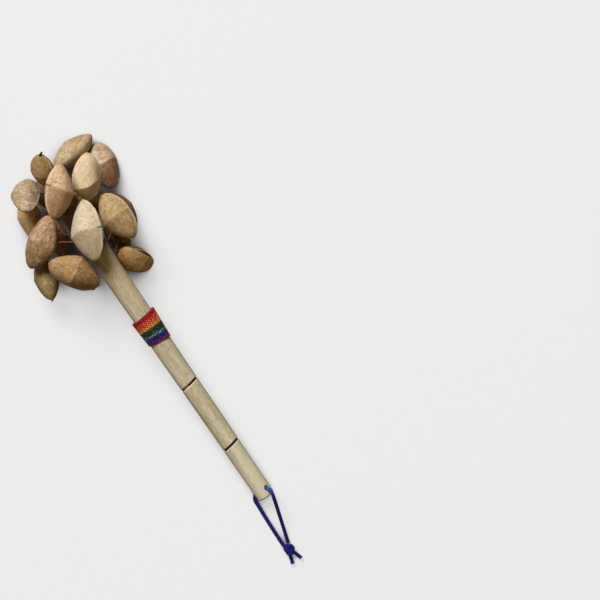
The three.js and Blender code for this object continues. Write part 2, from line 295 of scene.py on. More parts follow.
pods = {
    1: Pod(8, -8, -75, 0.93, "tan", "ccb794", "805a38", "bf9b77", ridge_at=0.05, wrinkle=0.25, blotch=0.7),
    2: Pod(76, -6, 200, 0.88, "pink", "dac4a6", "703e18", "c2a286", ridge=0.65, ridge_at=0.11,
           ridge_tilt=0.13, shaded=0.7),
    3: Pod(70, 45, 150, 0.8, "olive", "b29269", "80602f", "a1814d", gape=2.2, wrinkle=0.0, stalk=1.0),
    4: Pod(50, 0, 42, 1.0, "orange", "ebceac", "945c28", "dfb798", gape=1.0, ridge=0.65, ridge_at=0.06,
           ridge_tilt=0.13, kite=0.4, blotch=0.6, crack=1.0, shaded=0.6),
    5: Pod(58, 15, 190, 0.88, "cream", "e0cfb4", "c49a54", "d4be96", gape=1.0, ridge=0.65, ridge_at=-0.3,
           ridge_tilt=0.17, kite=0.3, wrinkle=0.1, blotch=0.2, shaded=0.2),
    6: Pod(55, -45, 180, 0.85, "grey", "d4be9f", "6c543a", "c0a07c", ridge=0.5, wrinkle=0.6, blotch=0.6,
           folds=(0.8, 0.5, 0.6)),
    7: Pod(70, 0, -60, 0.84, "tan", "dcb482", "a07844", "c49c68"),
    8: Pod(34, 10, -40, 1.03, "brown", "c5a076", "6c4822", "d0ae92", ridge_at=0.1, wrinkle=0.6, blotch=0.8,
           shaded=0.3),
    9: Pod(67, 0, 145, 1.12, "cream", "d7cdb5", "a8855c", "ccc0a2", gape=0.9, ridge=0.7, ridge_at=0.03,
           ridge_bend=-0.22, kite=0.45, wrinkle=0.1, blotch=0.4, crack=1.0, shaded=0.4),
    10: Pod(94, -8, 168, 0.98, "tan", "bfa578", "866032", "b49a69", gape=1.2, ridge=0.45, kite=0.4,
            shaded=0.35),
    11: Pod(113, 55, 138, 0.93, "brown", "e8bb76", "886438", "d2aa6b", gape=2.3, blotch=0.7),
    12: Pod(122, 5, -20, 1.0, "orange", "b28f63", "845628", "a98757", gape=1.0, ridge=0.6, kite=0.25,
            shaded=0.35),
    13: Pod(73, -30, -85, 0.92, "olive", "a08759", "6c5428", "927a46", ridge=0.3, wrinkle=0.05, stalk=-0.45),
    14: Pod(80, 0, -90, 0.85, "brown", "b07e4c", "6a4422", "9a6c3e"),
    15: Pod(94, 0, -95, 0.8, *deep_brown),
    16: Pod(85, 0, 20, 0.82, "tan", "a8835c", "6c4e30", "90704c"),
    17: Pod(100, 0, 200, 0.8, "olive", "8c7046", "5a4424", "806840"),
    18: Pod(60, 0, 180, 0.82, *deep_brown),
    19: Pod(90, 0, -70, 0.78, *deep_brown),
    20: Pod(100, 0, -95, 0.72, *deep_brown),
}

# Plain helpers


def paint(code):
    """A colour from its usual six figures, as the shaders want it."""
    shares = [int(code[i:i + 2], 16) / 255 for i in (0, 2, 4)]
    linear = [s / 12.92 if s <= 0.04045 else ((s + 0.055) / 1.055) ** 2.4 for s in shares]
    return (*linear, 1.0)


def smooth_step(low, high, value):
    share = min(max((value - low) / (high - low), 0), 1)
    return share * share * (3 - 2 * share)


def bell(distance, width):
    return exp(-(distance / width) ** 2)


def tube_rings(count, sides, start=0):
    """The numbers of the points in each ring of a tube."""
    return [range(start + i * sides, start + (i + 1) * sides) for i in range(count)]


def ring_faces(lower, upper):
    """Faces between two rings with as many points."""
    following = [*range(1, len(lower)), 0]
    return [(lower[j], lower[k], upper[k], upper[j]) for j, k in enumerate(following)]


def make_piece(name, points, faces, marks=None, spots=None):
    """A smooth mesh from points in millimetres; marks and spots are values that the materials read."""
    mesh = bpy.data.meshes.new(name)
    mesh.from_pydata([Vector(p) * mm for p in points], [], faces)
    for mark, values in (marks or {}).items():
        mesh.attributes.new(mark, "FLOAT", "POINT").data.foreach_set("value", values)
    if spots:
        flat = [value for spot in spots for value in spot]
        mesh.attributes.new("spot", "FLOAT_VECTOR", "POINT").data.foreach_set("vector", flat)
    mesh.polygons.foreach_set("use_smooth", [True] * len(mesh.polygons))
    piece = bpy.data.objects.new(name, mesh)
    scene.collection.objects.link(piece)
    return piece


# The stick's own frame: its butt, the way to its head, across and above

butt_face = frame["record"]["mounts"][0]
butt = Vector(butt_face["pos_m"]) / mm
to_head = -Vector(butt_face["axis"])
across = Vector((1, 0, 0))
above = across.cross(to_head)
stick_place = Matrix.Translation(butt * mm) @ Matrix((across, to_head, above)).transposed().to_4x4()
table_origin = butt - butt_diameter / 2 * Vector((0, to_head.z, above.z))


def stick_radius(along):
    return (butt_diameter + (head_diameter - butt_diameter) * along / stick_length) / 2


def round_stick(along, turn, reach):
    """A point beside the stick, at a turn from its right side over its top."""
    out = across * cos(radians(turn)) + above * sin(radians(turn))
    return butt + to_head * along + out * reach


# Camera

camera_data = bpy.data.cameras.new("camera")
camera_data.sensor_width = sensor_width
camera_data.lens = sensor_width * (view_height - view_plane) / view_width
camera_data.clip_end = 4 * view_height * mm
camera = bpy.data.objects.new("camera", camera_data)
view_centre = (table_origin + Vector((*view_middle, 0))) * mm
camera.location = view_centre + Vector((0, 0, view_height * mm))
camera.rotation_euler = (0, 0, radians(view_turn))
scene.collection.objects.link(camera)
scene.camera = camera

# Yarn: plies twisted round a line


def smooth_line(points, step, parts=24):
    """Even points along one smooth curve through the given ones."""
    points = [Vector(p) for p in points]
    ends = [2 * points[0] - points[1], *points, 2 * points[-1] - points[-2]]
    fine = []
    for a, b, c, d in zip(ends, ends[1:], ends[2:], ends[3:]):
        for i in range(parts):
            t = i / parts
            tangents = (c - a) * (t - 2 * t * t + t ** 3) / 2 + (d - b) * (t ** 3 - t * t) / 2
            fine.append(b * (1 - 3 * t * t + 2 * t ** 3) + c * (3 * t * t - 2 * t ** 3) + tangents)
    fine.append(points[-1])
    even = [fine[0]]
    left = step
    for a, b in zip(fine, fine[1:]):
        length = (b - a).length
        while length >= left > 0:
            even.append(a.lerp(b, left / length))
            left += step
        left -= length
    if (even[-1] - fine[-1]).length > step / 4:
        even.append(fine[-1])
    return even


def line_frames(line):
    """A side and an upper direction at each point of a line, turned as little as possible."""
    heading = (line[1] - line[0]).normalized()
    side = heading.orthogonal().normalized()
    frames = []
    for i in range(len(line)):
        heading = (line[min(i + 1, len(line) - 1)] - line[max(i - 1, 0)]).normalized()
        side = (side - heading * side.dot(heading)).normalized()
        frames.append((side, heading.cross(side)))
    return frames


def yarn_mesh(line, diameter, plies, lay, sides, seed, taper=0.0, fuzz=0.04):
    """Points, faces and marks of a twisted yarn. lay is the length of one turn of a ply."""
    points, faces, runs, rounds = [], [], [], []
    travelled = 0
    for i, (middle, (side, upper)) in enumerate(zip(line, line_frames(line))):
        if i:
            travelled += (middle - line[i - 1]).length
        twist = 2 * pi * travelled / lay
        from_end = min(i, len(line) - 1 - i) / (len(line) - 1)
        narrow = 1 - taper * (1 - smooth_step(0, taper_share, from_end))
        for j in range(sides):
            angle = 2 * pi * j / sides
            lobe = abs(sin(plies * (angle - twist) / 2))
            ragged = noise.noise(Vector((travelled * fuzz_along, fuzz_round * angle, seed)))
            reach = diameter / 2 * narrow * (1 - ply_hollow + ply_hollow * lobe ** ply_round + fuzz * ragged)
            points.append(middle + (side * cos(angle) + upper * sin(angle)) * reach)
            runs.append(travelled)
            rounds.append(((angle - twist) / (2 * pi)) % 1)
    rings = tube_rings(len(line), sides)
    for lower, upper in zip(rings, rings[1:]):
        faces.extend(ring_faces(lower, upper))
    for end, ring in ((line[0], rings[0][::-1]), (line[-1], rings[-1])):
        points.append(end)
        runs.append(runs[ring[0]])
        rounds.append(0.5)
        faces.extend((j, k, len(points) - 1) for j, k in zip(ring, [*ring[1:], ring[0]]))
    return points, faces, {"run": runs, "twist": rounds}


def join_meshes(parts):
    """Several meshes of points, faces and marks as one."""
    points, faces, marks = [], [], {}
    for part_points, part_faces, part_marks in parts:
        start = len(points)
        points.extend(part_points)
        faces.extend(tuple(start + i for i in face) for face in part_faces)
        for mark, values in part_marks.items():
            marks.setdefault(mark, []).extend(values)
    return points, faces, marks


# Hanging cord: two strands from the hole above the butt to the knot that ties them

cord_radius = stick_radius(cord_hole_along)


def on_table(x, y, z):
    return table_origin + Vector((x, y, z))


def cord_mouth(side, reach):
    return round_stick(cord_hole_along, cord_hole_turn, side * reach)


def at_knot(side):
    return on_table(*cord_knot_place) + Vector((side, 2, -1)) * cord_knot_diameter / 4


def eased(line, passes=40):
    """The same line with its bends evened out and its ends kept."""
    for _ in range(passes):
        inner = [(a + 2 * b + c) / 4 for a, b, c in zip(line, line[1:], line[2:])]
        line = [line[0], *inner, line[-1]]
    return line


def right_points():
    """Up out of the hole, over in an arc, and down to the table and the knot."""
    out = cord_mouth(1, 1) - cord_mouth(1, 0)
    start = cord_mouth(1, cord_radius - cord_bend_inset)
    lean = Vector(cord_lean)
    over = (lean - out * out.dot(lean)).normalized()
    points = [cord_mouth(1, cord_radius / 2)]
    for angle in cord_bend_steps:
        turn = radians(angle)
        points.append(start + (out * sin(turn) + over * (1 - cos(turn))) * cord_bend)
    top = points[-1]
    for share in cord_fall_steps:
        point = top.lerp(at_knot(1), share)
        point.z = cord_lift + (top.z - cord_lift) * (1 - share) ** cord_fall_power
        points.append(point)
    return [*points, at_knot(1)]


def left_points():
    """Down out of the hole, and along the table beside the stick to the knot."""
    beside = on_table(-cord_radius - cord_diameter / 2 - cord_beside_gap, cord_beside_along, cord_lift)
    points = [cord_mouth(-1, cord_radius / 2), cord_mouth(-1, cord_radius), beside]
    for share in cord_bow_steps:
        point = beside.lerp(at_knot(-1), share)
        point.x -= cord_bow * share * (1 - share)
        point.z = cord_lift
        points.append(point)
    return [*points, at_knot(-1)]


def knot_line():
    """Three wraps over each other, as an overhand knot shows."""
    middle = on_table(*cord_knot_place)
    line = []
    for i in range(knot_steps + 1):
        turn = 2 * pi * i / knot_steps
        reach = knot_ring + knot_swell * cos(3 * turn)
        x = reach * cos(2 * turn)
        y = reach * sin(2 * turn) * knot_stretch
        line.append(middle + Vector((x, y, knot_swell * sin(3 * turn))))
    return line


def tail_line(side):
    """A short cut end beyond the knot, drooping to the table."""
    middle = on_table(*cord_knot_place)
    down = cord_lift - cord_knot_place[2]
    places = ((0.8, -1.0, 0), (1.9, -4.2, -0.9), (2.6, -6.6, down), (3.4, -9.5, down))
    return smooth_line([middle + Vector((side * x, y, z)) for x, y, z in places], cord_step)


def make_cord_knot():
    parts = [yarn_mesh(knot_line(), cord_diameter, *cord_twist, 7)]
    for side, seed in ((1, 8), (-1, 9)):
        parts.append(yarn_mesh(
            tail_line(side), tail_diameter, *cord_twist, seed, taper=-tail_flare, fuzz=tail_fuzz))
    return make_piece("cord_knot_wraps", *join_meshes(parts))


def make_cord():
    knot = make_cord_knot()
    strands = {}
    for name, points, seed in (("right", right_points(), 1), ("left", left_points(), 2)):
        route = eased(smooth_line(points, cord_step))
        points, faces, marks = yarn_mesh(route, cord_diameter, *cord_twist, seed)
        if name == "right":
            # The right strand's first millimetres, up over its arch, get a painted highlight that fades out
            # along it
            marks["painted_highlight"] = [1 - smooth_step(*cord_highlight_fade, run) for run in marks["run"]]
        strand = make_piece(f"cord_strand_{name}", points, faces, marks)
        length = sum((b - a).length for a, b in zip(route, route[1:]))
        strands[name] = strand
    for piece in (*strands.values(), knot):
        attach(piece, "handle")
        piece.data.materials.append(cord_material())
    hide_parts("hanging_cord")
    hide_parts("cord_knot")


# Shader nodes


def set_inputs(tree, node, inputs):
    """Gives each input of a node a plain value or another node's output."""
    for name, value in inputs.items():
        if isinstance(value, bpy.types.NodeSocket):
            tree.links.new(value, node.inputs[name])
        else:
            node.inputs[name].default_value = value


def add_node(tree, kind, inputs, **settings):
    node = tree.nodes.new("ShaderNode" + kind)
    for setting, value in settings.items():
        setattr(node, setting, value)
    set_inputs(tree, node, inputs)
    return node


def reckon(tree, operation, first, second=0.0):
    return add_node(tree, "Math", {0: first, 1: second}, operation=operation).outputs[0]


def times(tree, first, second):
    return reckon(tree, "MULTIPLY", first, second)


def blend_colours(tree, share, first, second):
    inputs = {0: share, 6: first, 7: second}
    return add_node(tree, "Mix", inputs, data_type="RGBA").outputs[2]


def coated(tree, colour, *coats):
    """A colour under coats; each has the share that it covers and its own colour."""
    for share, coat in coats:
        colour = blend_colours(tree, share, colour, coat)
    return colour


def ease(tree, value, low, high, start=0.0, end=1.0):
    inputs = {"Value": value, 1: low, 2: high, 3: start, 4: end}
    return add_node(tree, "MapRange", inputs, interpolation_type="SMOOTHSTEP").outputs[0]


def cloud(tree, place, seed, scale, detail=3.0, rough=0.55):
    """Soft noise from 0 to 1."""
    inputs = {"Vector": place, "W": seed, "Scale": scale, "Detail": detail, "Roughness": rough}
    return add_node(tree, "TexNoise", inputs, noise_dimensions="4D").outputs["Fac"]


def stretched(tree, place, factors):
    return add_node(tree, "VectorMath", {0: place, 1: factors}, operation="MULTIPLY").outputs[0]


def mark(tree, name):
    """A value that a mesh carries."""
    return add_node(tree, "Attribute", {}, attribute_name=name).outputs["Fac"]


def piece_place(tree):
    """The place on the piece in millimetres."""
    spot = tree.nodes.new("ShaderNodeTexCoord").outputs["Object"]
    return add_node(tree, "VectorMath", {0: spot, "Scale": 1 / mm}, operation="SCALE").outputs[0]


def start_group(name, inputs, outputs):
    """A node group from its sockets' names by kind: its tree and its inputs."""
    tree = bpy.data.node_groups.new(name, "ShaderNodeTree")
    for way, kinds in (("INPUT", inputs), ("OUTPUT", outputs)):
        for kind, sockets in kinds.items():
            for socket in sockets:
                tree.interface.new_socket(socket, in_out=way, socket_type="NodeSocket" + kind)
    return tree, tree.nodes.new("NodeGroupInput").outputs


def end_group(tree, outputs):
    """Joins a group's outputs by name."""
    set_inputs(tree, tree.nodes.new("NodeGroupOutput"), outputs)
    return tree


def put_group(tree, group, inputs):
    """The outputs of a node group in a tree."""
    return add_node(tree, "Group", inputs, node_tree=group).outputs


def start_material(name):
    """A new material: itself, its tree and its shader."""
    material = bpy.data.materials.new(name)
    material.use_nodes = True
    return material, material.node_tree, material.node_tree.nodes["Principled BSDF"]


def set_surface(tree, shader, colour, roughness, height, depth, gloss, sheen=0.0):
    """Gives the shader its colour, its finish and a relief of so many millimetres."""
    bump = add_node(tree, "Bump", {"Height": height, "Distance": depth * mm})
    set_inputs(tree, shader, {
        "Base Color": colour, "Roughness": roughness, "Normal": bump.outputs["Normal"],
        "Specular IOR Level": gloss, "Sheen Weight": sheen,
    })


# Effects that several materials share


def make_blotch_group():
    """Two tones in soft patches, with a finer speckle."""
    tree, given = start_group("Blotched tone", {
        "Vector": ("Place",), "Color": ("Light", "Dark"),
        "Float": ("Seed", "Patch scale", "Speckle scale", "Amount"),
    }, {"Color": ("Colour",), "Float": ("Speckle",)})
    patch = ease(tree, cloud(tree, given["Place"], given["Seed"], given["Patch scale"], 4.0), 0.35, 0.7)
    speckle = cloud(tree, given["Place"], given["Seed"], given["Speckle scale"], 5.0, 0.7)
    spots = ease(tree, speckle, 0.38, 0.66)
    share = times(tree, times(tree, patch, 0.6), given["Amount"])
    share = reckon(tree, "ADD", share, times(tree, spots, 0.34))
    tone = blend_colours(tree, share, given["Light"], given["Dark"])
    return end_group(tree, {"Colour": tone, "Speckle": speckle})


def make_pore_group():
    """Small sunken dots, some larger than others."""
    tree, given = start_group("Pores", {
        "Vector": ("Place",), "Float": ("Seed", "Scale", "Size"),
    }, {"Float": ("Mask",)})
    cells = add_node(tree, "TexVoronoi", {
        "Vector": given["Place"], "W": given["Seed"], "Scale": given["Scale"],
    }, voronoi_dimensions="4D")
    chance = add_node(tree, "SeparateColor", {"Color": cells.outputs["Color"]}).outputs[0]
    size = times(tree, given["Size"], chance)
    near = reckon(tree, "SUBTRACT", size, cells.outputs["Distance"])
    return end_group(tree, {"Mask": ease(tree, near, -0.08, 0.08)})


def make_fibre_group():
    """Fine fibres along a yarn with a painted shine, and painted shade in the hollow between its plies."""
    tree, given = start_group("Yarn fibres", {
        "Float": ("Run", "Twist", "Plies"), "Color": ("Light", "Dark"),
    }, {"Color": ("Colour",), "Float": ("Height",)})
    turn = times(tree, given["Twist"], 2 * pi)
    spot = add_node(tree, "CombineXYZ", {
        0: reckon(tree, "COSINE", turn), 1: reckon(tree, "SINE", turn), 2: times(tree, given["Run"], 0.12),
    }).outputs[0]
    fibres = cloud(tree, spot, 0.0, 7.0, 5.0, 0.7)
    patches = cloud(tree, spot, 0.0, 1.3, 2.0)
    ply_turn = times(tree, times(tree, turn, 0.5), given["Plies"])
    lobe = reckon(tree, "ABSOLUTE", reckon(tree, "SINE", ply_turn))
    # Painted shine on the fibres, and painted shade where the plies dip apart
    shine = times(tree, ease(tree, fibres, 0.3, 0.7), ease(tree, lobe, 0.0, 0.7, 0.35, 1.0))
    shine = times(tree, shine, ease(tree, patches, 0.3, 0.7, 0.65, 1.0))
    colour = blend_colours(tree, shine, given["Dark"], given["Light"])
    return end_group(tree, {"Colour": colour, "Height": fibres})


blotch_group = make_blotch_group()
pore_group = make_pore_group()
fibre_group = make_fibre_group()


# Materials


def yarn_material(name, light, dark, plies, sheen, highlight_colour=None):
    """A twisted yarn; where the mesh carries a highlight mark, a lighter colour goes on as a painted
    highlight.
    """
    material, tree, shader = start_material(name)
    bright = paint(light)
    if highlight_colour:
        bright = blend_colours(tree, mark(tree, "painted_highlight"), paint(light), paint(highlight_colour))
    fibres = put_group(tree, fibre_group, {
        "Run": mark(tree, "run"), "Twist": mark(tree, "twist"), "Plies": plies,
        "Light": bright, "Dark": paint(dark),
    })
    rough = ease(tree, fibres["Height"], 0.2, 0.8, 0.95, 0.8)
    set_surface(tree, shader, fibres["Colour"], rough, fibres["Height"], depth=0.15, gloss=0.2, sheen=sheen)
    return material


@cache
def cord_material():
    # The lighter blue is a painted highlight over the right strand's arch
    return yarn_material("blue_yarn", "24269a", "0a0446", plies=3.0, sheen=0.05, highlight_colour="4a78f0")


@cache
def thread_material():
    return yarn_material("brown_thread", "b08a62", "50301e", plies=2.0, sheen=0.1)


def make_shell_group():
    """The skin of a dry nut shell: blotches, pores, wrinkles, a ridge, pale lips and a dark inside."""
    tree, given = start_group("Nut shell", {
        "Vector": ("Place", "Folds"), "Color": ("Light", "Dark", "Blush", "Lip", "Hollow"),
        "Float": ("Seed", "Blotch", "Wrinkle", "Shaded", "Along", "Lip mark", "Ridge mark", "Dark mark",
                  "Hollow mark"),
    }, {"Color": ("Colour",), "Float": ("Roughness", "Height")})
    place, seed = given["Place"], given["Seed"]
    dark, pale, hollow = given["Dark"], given["Lip"], given["Hollow"]
    tone = put_group(tree, blotch_group, {
        "Place": place, "Seed": seed, "Light": given["Light"], "Dark": dark,
        "Patch scale": 0.13, "Speckle scale": 0.95, "Amount": given["Blotch"],
    })
    speckle = tone["Speckle"]
    flush = cloud(tree, place, reckon(tree, "ADD", seed, 40.0), 0.11, 2.0)
    dots = cloud(tree, place, reckon(tree, "ADD", seed, 80.0), 0.6, 3.0)
    mottle = cloud(tree, place, reckon(tree, "ADD", seed, 120.0), 0.5, 4.0, 0.65)
    lower = ease(tree, times(tree, given["Along"], -1.0), -0.05, 0.12)
    pores = put_group(tree, pore_group, {"Place": place, "Seed": seed, "Scale": 0.8, "Size": 0.34})["Mask"]
    folds = cloud(tree, stretched(tree, place, given["Folds"]), seed, 1.0, 4.0, 0.6)
    dark_folds = times(tree, ease(tree, folds, 0.55, 0.42), given["Wrinkle"])
    pale_folds = times(tree, ease(tree, folds, 0.55, 0.68), given["Wrinkle"])
    tips = ease(tree, reckon(tree, "ABSOLUTE", given["Along"]), 0.88, 1.0, 0.0, 0.55)
    lips = times(tree, given["Lip mark"], ease(tree, speckle, 0.35, 0.6, 1.0, 0.35))
    colour = coated(
        tree, tone["Colour"],
        (ease(tree, flush, 0.45, 0.65, 0.0, 0.75), given["Blush"]),
        # Painted shade on the half of the shell from the ridge to the tip where Along is negative
        (times(tree, lower, given["Shaded"]), dark),
        (ease(tree, mottle, 0.52, 0.34, 0.0, 0.55), dark),
        (ease(tree, mottle, 0.54, 0.72, 0.0, 0.4), pale),
        (ease(tree, dots, 0.45, 0.8, 0.0, 0.3), pale),
        # The wrinkles' dark and pale sides are painted shade and painted highlight
        (times(tree, dark_folds, 0.6), dark),
        (times(tree, pale_folds, 0.5), pale),
        (times(tree, pores, 0.4), dark),
        # A faint painted highlight along the ridge
        (times(tree, given["Ridge mark"], 0.16), pale),
        (tips, dark),
        (lips, pale),
        (given["Dark mark"], hollow),
        (given["Hollow mark"], hollow),
    )
    rough = ease(tree, speckle, 0.3, 0.7, 0.6, 0.8)
    relief = reckon(tree, "SUBTRACT", speckle, times(tree, dark_folds, 0.7))
    relief = reckon(tree, "SUBTRACT", relief, times(tree, pores, 0.5))
    return end_group(tree, {"Colour": colour, "Roughness": rough, "Height": relief})


shell_group = make_shell_group()


def shell_material(number):
    pod = pods[number]
    material, tree, shader = start_material(f"shell_{number:02d}")
    place = add_node(tree, "Attribute", {}, attribute_name="spot").outputs["Vector"]
    skin = put_group(tree, shell_group, {
        "Place": place, "Seed": tone_seed * number, "Light": paint(pod.light), "Dark": paint(pod.dark),
        "Blush": paint(pod.blush), "Lip": paint("e8d8b8"), "Hollow": paint("33200f"),
        "Blotch": pod.blotch, "Wrinkle": pod.wrinkle, "Along": mark(tree, "along"),
        "Lip mark": mark(tree, "lip"), "Ridge mark": mark(tree, "ridge"),
        "Dark mark": mark(tree, "crack"), "Hollow mark": mark(tree, "hollow"), "Shaded": pod.shaded,
        "Folds": pod.folds,
    })
    set_surface(tree, shader, skin["Colour"], skin["Roughness"], skin["Height"], depth=0.3, gloss=0.22)
    return material


def groove_ring(tree, slanted, shift, half_width):
    """1 in a ring at each groove, shifted from its middle to the head."""
    ring = 0.0
    for middle in groove_middles:
        off = reckon(tree, "ABSOLUTE", reckon(tree, "SUBTRACT", slanted, middle + shift))
        within = ease(tree, off, half_width * ring_full, half_width * ring_end, 1.0, 0.0)
        ring = reckon(tree, "MAXIMUM", within, ring)
    return ring


def stick_material():
    material, tree, shader = start_material("whittled_wood")
    place = piece_place(tree)
    side, along, _ = add_node(tree, "SeparateXYZ", {0: place}).outputs

    def grain(share):
        """The place, for marks drawn out along the stick."""
        return stretched(tree, place, (1.0, share, 1.0))

    tone = put_group(tree, blotch_group, {
        "Place": grain(0.06), "Seed": 1.0, "Light": paint("dad0b6"), "Dark": paint("a39474"),
        "Patch scale": 0.32, "Speckle scale": 1.1, "Amount": 0.9,
    })
    green = cloud(tree, grain(0.2), 4.0, 0.2)
    rosy = cloud(tree, grain(0.15), 9.0, 0.25)
    streaks = cloud(tree, grain(0.35), 15.0, 0.8, 5.0, 0.75)
    flecks = put_group(tree, pore_group, {
        "Place": grain(0.25), "Seed": 2.0, "Scale": 1.0, "Size": 0.28,
    })["Mask"]
    slanted = reckon(tree, "SUBTRACT", along, times(tree, side, groove_slope))
    browned = times(tree, ease(tree, side, *browned_left), ease(tree, side, *browned_right))
    browned = times(tree, browned, ease(tree, along, *browned_along))
    burnt = blend_colours(tree, browned, paint("150c06"), paint("a87a3e"))
    colour = coated(
        tree, tone["Colour"],
        (ease(tree, green, 0.4, 0.65, 0.0, 0.5), paint("b9b286")),
        (ease(tree, rosy, 0.5, 0.7, 0.0, 0.4), paint("c4a98a")),
        (ease(tree, streaks, 0.5, 0.34, 0.0, 0.6), paint("86764e")),
        (ease(tree, streaks, 0.54, 0.68, 0.0, 0.6), paint("e2d8c0")),
        (ease(tree, along, *butt_paling, 0.0, 0.4), paint("ece6cc")),
        (ease(tree, along, *head_yellowing, 0.0, 0.3), paint("d2b274")),
        (times(tree, flecks, 0.3), paint("7a6a48")),
        # Painted highlight along each groove's butt-side edge
        (groove_ring(tree, slanted, *painted_highlight_ring), paint("ece4cc")),
        (groove_ring(tree, slanted, *brown_ring), paint("8a7654")),
        (groove_ring(tree, slanted, *burnt_ring), burnt),
        # Painted shade on the stick's head, where it lies under the pods
        (ease(tree, along, *head_painted_shade, 0.0, 0.85), paint("4a3426")),
    )
    rough = ease(tree, tone["Speckle"], 0.3, 0.7, 0.55, 0.75)
    height = reckon(tree, "SUBTRACT", tone["Speckle"], times(tree, flecks, 0.4))
    set_surface(tree, shader, colour, rough, height, depth=0.15, gloss=0.3)
    return material


def striped(tree, row, stripes):
    """A colour for each stripe; each one starts at its share of the band's width."""
    ramp = add_node(tree, "ValToRGB", {"Fac": row})
    ramp.color_ramp.interpolation = "CONSTANT"
    stops = ramp.color_ramp.elements
    stops.remove(stops[1])
    for start, code in stripes:
        stop = stops.new(start) if start else stops[0]
        stop.color = paint(code)
    return ramp.outputs["Color"]


def band_material():
    material, tree, shader = start_material("woven_yarn")
    row, crest, shade = mark(tree, "row"), mark(tree, "crest"), mark(tree, "shade")
    floats, hollows, flecks = (
        striped(tree, row, [(stripe[0] / band_yarns, stripe[i]) for stripe in band_stripes])
        for i in (1, 2, 3)
    )
    picked = times(tree, ease(tree, shade, 0.45, 0.6), ease(tree, crest, 0.45, 0.75))
    fuzz = cloud(tree, piece_place(tree), 5.0, 4.0, 4.0, 0.7)
    # Painted shade: a darker copy of each yarn's colour fills the hollows between floats and rises to the
    # yarn's colour on their crests
    colour = coated(
        tree, hollows,
        (ease(tree, crest, 0.25, 0.8), floats),
        (picked, flecks),
        (ease(tree, fuzz, 0.4, 0.7, 0.0, 0.3), hollows),
    )
    rough = ease(tree, fuzz, 0.3, 0.7, 0.8, 0.95)
    set_surface(tree, shader, colour, rough, fuzz, depth=0.12, gloss=0.2, sheen=0.15)
    return material


# Stick


def stick_profile():
    """Places along the stick, closer together at its grooves and ends."""
    places = {0.0, end_chamfer, stick_length - end_chamfer, stick_length}
    places.update(float(i) for i in range(1, int(stick_length)))
    for middle in groove_middles:
        places.update(middle + groove_step * i for i in range(-groove_steps, groove_steps + 1))
    return sorted(places)


def groove_dip(slanted):
    dip = 0
    for middle in groove_middles:
        off = abs(slanted - middle)
        dip = max(dip, groove_depth * (1 - smooth_step(groove_width / 4, groove_width / 2, off)))
    return dip


def stick_point(along, turn):
    """A point of the whittled skin, with its grooves and chamfers."""
    radius = stick_radius(along)
    for spread, run, start, height in stick_waves:
        spot = Vector((cos(turn) * spread, sin(turn) * spread, along / run + start))
        radius += height * noise.noise(spot)
    shift = radius * cos(turn) * groove_slope
    near_groove = smooth_step(*groove_fade, min(abs(along - m) for m in groove_middles))
    chamfer = max(0, end_chamfer - min(along, stick_length - along))
    radius -= groove_dip(along - shift * near_groove) + chamfer
    return radius * cos(turn), along, radius * sin(turn)


def make_stick():
    sides = 96
    rows = stick_profile()
    rings = tube_rings(len(rows), sides)
    points = [stick_point(along, 2 * pi * j / sides) for along in rows for j in range(sides)]
    points.extend([(0, 0, 0), (0, stick_length, 0)])
    faces = []
    for lower, upper in zip(rings, rings[1:]):
        faces.extend((a, d, c, b) for a, b, c, d in ring_faces(lower, upper))
    for a, b, c, d in ring_faces(rings[0], rings[-1]):
        faces.append((a, b, len(points) - 2))
        faces.append((c, d, len(points) - 1))
    stick = make_piece("whittled_stick", points, faces)
    holes = [(stick_length - back, turn, string_hole_diameter) for back, turn in string_holes]
    holes.append((cord_hole_along, cord_hole_turn, cord_hole_diameter))
    drill_holes(stick, holes)
    stick.matrix_world = stick_place
    stick.data.materials.append(stick_material())
    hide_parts("stick")
    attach(stick, "handle")
    return stick


def drill_holes(stick, holes):
    """Cuts cross holes through the stick, which lies along Y."""
    sides = 28
    ahead = Vector((0, 1, 0))
    points, faces = [], []
    for along, turn, diameter in holes:
        out = Vector((cos(radians(turn)), 0, sin(radians(turn))))
        upright = out.cross(ahead)
        lower, upper = tube_rings(2, sides, len(points))
        for reach in (-head_diameter, head_diameter):
            for j in range(sides):
                angle = 2 * pi * j / sides
                rim = ahead * cos(angle) + upright * sin(angle)
                points.append(Vector((0, along, 0)) + out * reach + rim * diameter / 2)
        faces.extend([*ring_faces(lower, upper), tuple(lower[::-1]), tuple(upper)])
    drill = make_piece("drill", points, faces)
    cut = stick.modifiers.new("holes", "BOOLEAN")
    cut.operation = "DIFFERENCE"
    cut.solver = "EXACT"
    cut.object = drill
    drilled = bpy.data.meshes.new_from_object(stick.evaluated_get(bpy.context.evaluated_depsgraph_get()))
    stick.modifiers.clear()
    stick.data = drilled
    drilled.set_sharp_from_angle(angle=radians(sharp_angle))
    bpy.data.objects.remove(drill)


# Textile band: rows of yarn that float over and under, wrapped once round the stick


def band_point(row, column, layer):
    """A point of the band and its marks; row runs from the butt side to the head side."""
    turn = 2 * pi * column / band_columns
    side = 2 * row - 1
    along = band_middle + side * band_length / 2 + (band_lean + band_skew * side) * cos(turn)
    reach = stick_radius(along) + band_clearance + band_flare * side
    yarn = min(int(row * band_yarns), band_yarns - 1)
    off = 2 * (row * band_yarns - yarn) - 1
    slant = float_slant * off * (1 if yarn % 2 else -1)
    place = column / band_columns * band_floats + slant
    crest = 0.5 + 0.5 * cos(2 * pi * place)
    past_lap = (degrees(turn) - band_lap_at) % 360
    reach += band_lap * (1 - smooth_step(0, band_lap_turn, past_lap))
    if layer:
        hump = sqrt(max(0, 1 - off * off)) * (float_low + (1 - float_low) * crest ** float_round)
        reach += band_thickness - band_pinch * (1 - row) ** 2 - band_relief * (1 - hump)
    shade = random.Random(yarn * float_seed + round(place) % band_floats).random()
    point = Vector((reach * cos(turn), along, reach * sin(turn)))
    return point, row, crest, shade


